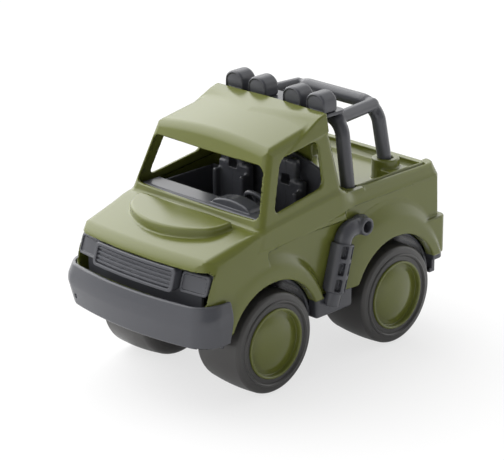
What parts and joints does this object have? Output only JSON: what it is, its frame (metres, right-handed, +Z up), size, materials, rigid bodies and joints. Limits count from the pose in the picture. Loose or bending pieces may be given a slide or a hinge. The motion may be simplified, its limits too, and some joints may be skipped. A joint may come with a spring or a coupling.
{
  "type": "toy pickup truck",
  "caption": "Moulded plastic toy pickup with open cab windows, open load bed, roll bar, roof lamps, side exhausts and freely rolling wide wheels.",
  "frame": {"origin": "on the floor under the middle of the toy, halfway along its length", "axes": "+Z up, -Y towards the front bumper, +X towards the toy's left side"},
  "size_m": [0.129, 0.223, 0.1659],
  "materials": {
    "green_plastic": "gloss",
    "grey_plastic": "satin",
    "tyre_plastic": "satin",
    "steel_rod": "satin"
  },
  "bodies": {
    "toy_body": {"body_shell": "green_plastic", "chassis": "grey_plastic", "front_bumper": "grey_plastic", "grille": "grey_plastic", "headlamp_left": "grey_plastic", "headlamp_right": "grey_plastic", "cabin_tub": "grey_plastic", "dashboard": "grey_plastic", "steering_wheel": "grey_plastic", "seat_left": "grey_plastic", "seat_right": "grey_plastic", "roll_bar": "grey_plastic", "lamp_tray": "grey_plastic", "roof_lamp_1": "grey_plastic", "roof_lamp_2": "grey_plastic", "roof_lamp_3": "grey_plastic", "roof_lamp_4": "grey_plastic", "exhaust_left": "grey_plastic", "exhaust_right": "grey_plastic", "wheel_liner_front_left": "grey_plastic", "wheel_liner_front_right": "grey_plastic", "wheel_liner_rear_left": "grey_plastic", "wheel_liner_rear_right": "grey_plastic"},
    "front_wheels": {"front_axle": "steel_rod", "tyre_front_left": "tyre_plastic", "tyre_front_right": "tyre_plastic", "hub_front_left": "green_plastic", "hub_front_right": "green_plastic"},
    "rear_wheels": {"rear_axle": "steel_rod", "tyre_rear_left": "tyre_plastic", "tyre_rear_right": "tyre_plastic", "hub_rear_left": "green_plastic", "hub_rear_right": "green_plastic"}
  },
  "joints": [
    {"name": "front_wheels_roll", "type": "hinge", "parent": "toy_body", "child": "front_wheels", "pos_m": [0, -0.044, 0.0315], "axis": [1, 0, 0], "continuous": true},
    {"name": "rear_wheels_roll", "type": "hinge", "parent": "toy_body", "child": "rear_wheels", "pos_m": [0, 0.063, 0.0315], "axis": [1, 0, 0], "continuous": true}
  ]
}
